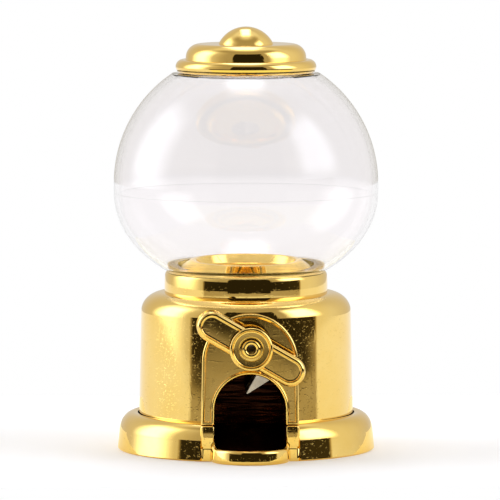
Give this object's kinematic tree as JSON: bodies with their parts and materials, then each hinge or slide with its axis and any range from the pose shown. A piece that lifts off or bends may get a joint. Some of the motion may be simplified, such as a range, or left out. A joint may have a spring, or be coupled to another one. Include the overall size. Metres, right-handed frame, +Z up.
{
  "type": "gumball machine",
  "caption": "Small table-top gumball machine: clear globe with a lift-off lid on a drum-shaped body, with a wing crank, a dispensing wheel and a scoop-shaped tray.",
  "frame": {"origin": "middle of the underside, on the globe's axis", "axes": "+Z up along the globe's axis, -Y towards the front with the crank and the tray, +X to the right as seen from the front"},
  "size_m": [0.0594, 0.0647, 0.095],
  "materials": {
    "gold_plating": "vacuum-metallised polished gold on moulded plastic",
    "clear_plastic": "clear polished styrene",
    "dark_plastic": "dark brown moulded, semi-gloss",
    "ivory_plastic": "uncoloured ivory moulding",
    "steel": "zinc-plated steel"
  },
  "bodies": {
    "stand": {"globe_upper": "clear_plastic", "globe_lower": "clear_plastic", "neck_collar": "gold_plating", "hopper": "gold_plating", "body_shell": "gold_plating", "front_bezel": "gold_plating", "shaft_bush": "gold_plating", "bush_nut": "steel", "wheel_housing": "dark_plastic", "chute_liner": "dark_plastic", "dispensing_tray": "gold_plating", "base_ring": "gold_plating", "base_plate": "gold_plating", "base_screws": "steel", "housing_screws": "steel"},
    "lid": {"lid_shell": "gold_plating", "lid_knob": "gold_plating", "lid_liner": "clear_plastic"},
    "crank": {"turn_handle": "gold_plating", "handle_rivet": "gold_plating", "crank_shaft": "steel", "crank_washer": "steel", "dispensing_wheel": "ivory_plastic", "shaft_clip": "steel"}
  },
  "joints": [
    {"name": "lid_lift", "type": "slide", "parent": "stand", "child": "lid", "axis": [0, 0, 1], "range_m": [0, 0.03]},
    {"name": "crank_turn", "type": "hinge", "parent": "stand", "child": "crank", "pos_m": [0, 0, 0.0255], "axis": [0, 1, 0], "continuous": true}
  ]
}
